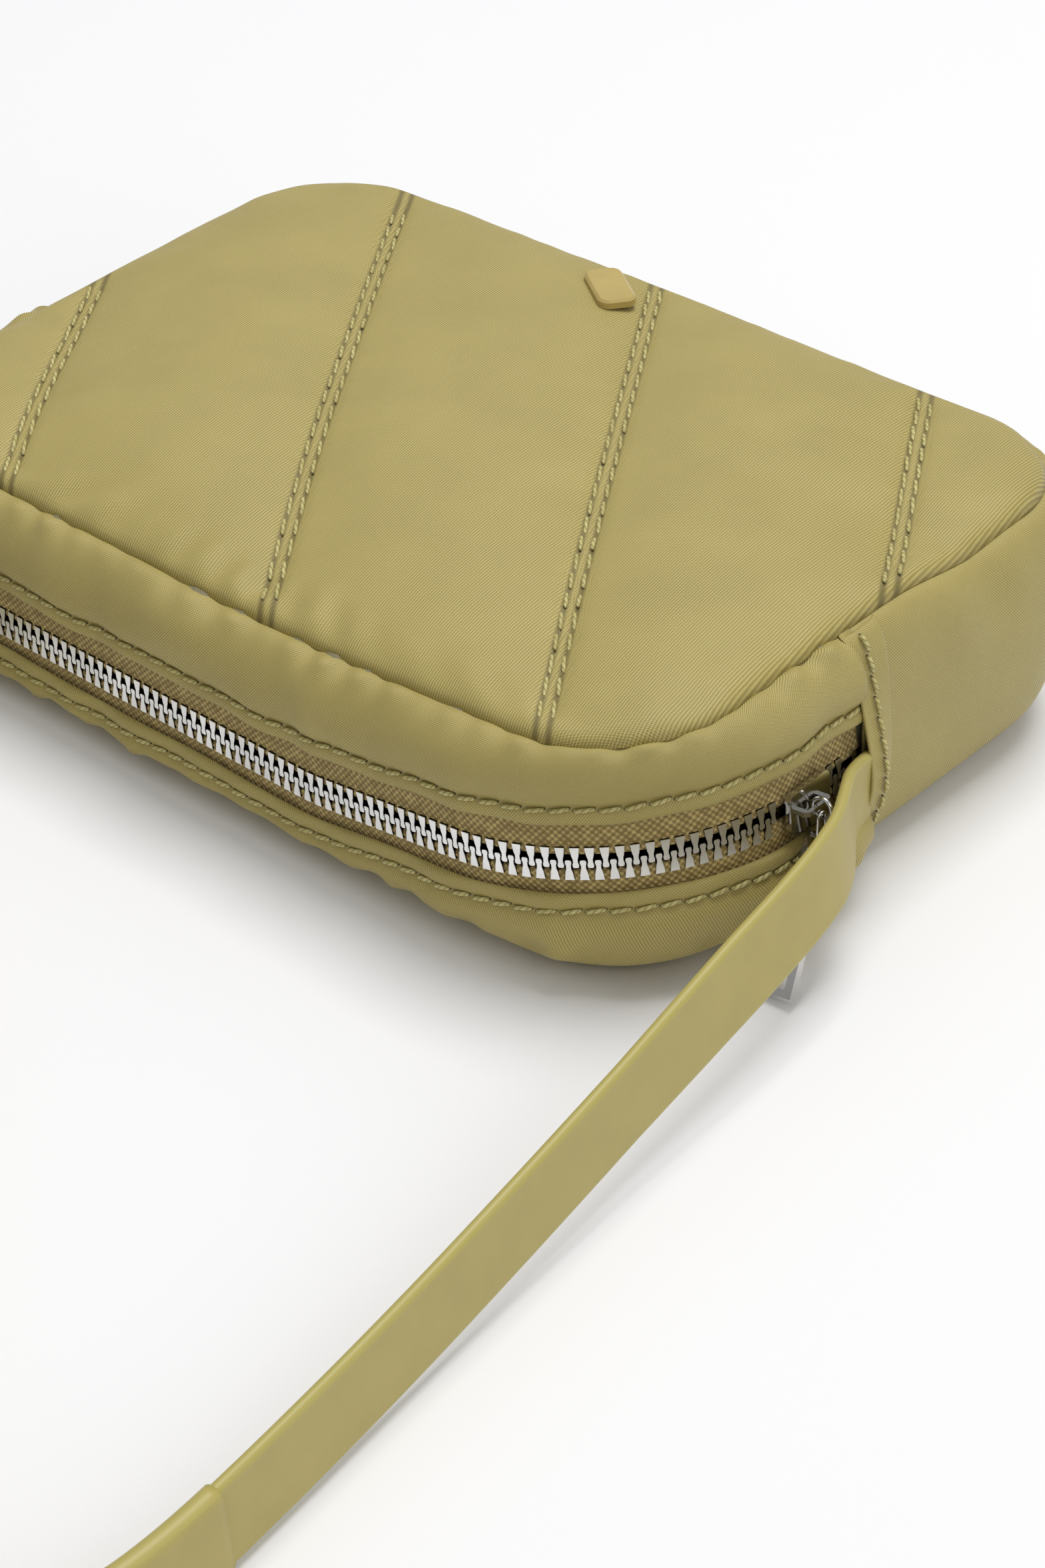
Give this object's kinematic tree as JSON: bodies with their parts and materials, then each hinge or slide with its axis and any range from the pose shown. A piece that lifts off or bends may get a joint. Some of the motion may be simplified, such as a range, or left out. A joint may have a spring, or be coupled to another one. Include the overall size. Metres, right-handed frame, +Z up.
{
  "type": "crossbody purse",
  "caption": "Soft quilted rectangular crossbody purse lying on its back, with a long top zip, hanging pull and narrow shoulder strap.",
  "frame": {"origin": "bottom centre of the purse's box (strap left out), on the surface that its back lies on", "axes": "+Z up through the front panel, +X along the purse towards the end where the zip closes, -Y towards the zip side (the purse's top when worn)"},
  "size_m": [0.2572, 0.3277, 0.0563],
  "materials": {
    "nylon": "olive-khaki nylon twill with a soft sheen",
    "lining": "plain woven lining",
    "wadding": "needled polyester wadding",
    "stiffener": "non-woven stiffener board",
    "zip_tape": "coarse woven zip tape",
    "zip_metal": "polished nickel",
    "slider_metal": "polished nickel",
    "binding": "folded woven binding",
    "strap_leather": "smooth olive leather with painted edges",
    "badge": "moulded olive plate",
    "badge_fixings": "plain steel"
  },
  "bodies": {
    "bag": {"front_panel_cover": "nylon", "front_panel_wadding": "wadding", "front_panel_lining": "lining", "back_panel_cover": "nylon", "back_panel_stiffener": "stiffener", "back_panel_lining": "lining", "plain_gusset": "nylon", "plain_gusset_lining": "lining", "zip_facing_front": "nylon", "zip_facing_back": "nylon", "zip_facing_lining_front": "lining", "zip_facing_lining_back": "lining", "front_seam_binding": "binding", "back_seam_binding": "binding", "zip_tape_front": "zip_tape", "zip_tape_back": "zip_tape", "zip_teeth_front": "zip_metal", "zip_teeth_back": "zip_metal", "zip_top_stops": "zip_metal", "zip_bottom_stop": "zip_metal", "end_band_right": "nylon", "end_band_left": "nylon", "strap_root_right": "strap_leather", "strap_root_left": "strap_leather", "strap_front_run": "strap_leather", "strap_back_run": "strap_leather", "strap_sleeve": "strap_leather", "strap_hank": "strap_leather", "badge_plate": "badge", "badge_prongs": "badge_fixings", "badge_washers": "badge_fixings"},
    "slider": {"slider_body": "slider_metal", "slider_bridge": "slider_metal"},
    "ring": {"pull_ring": "slider_metal"},
    "link": {"pull_link": "slider_metal"},
    "pull": {"pull_frame": "slider_metal"}
  },
  "joints": [
    {"name": "zip_slider", "type": "hinge", "parent": "bag", "child": "slider", "pos_m": [0.06126, -0.029, 0.02295], "axis": [0.1392, 0, -0.9903], "range_deg": [0, 90], "deforming": ["zip_teeth_front", "zip_teeth_back"]},
    {"name": "ring_swing", "type": "hinge", "parent": "slider", "child": "ring", "pos_m": [0.1072, -0.029, 0.02941], "axis": [0, -1, 0], "range_deg": [0, 4]},
    {"name": "link_swing", "type": "hinge", "parent": "ring", "child": "link", "pos_m": [0.108, -0.029, 0.02757], "axis": [-1, 0, 0], "range_deg": [0, 12]},
    {"name": "pull_swing", "type": "hinge", "parent": "link", "child": "pull", "pos_m": [0.108, -0.029, 0.02352], "axis": [-0.9877, -0.0984, -0.1216], "range_deg": [0, 50]}
  ]
}
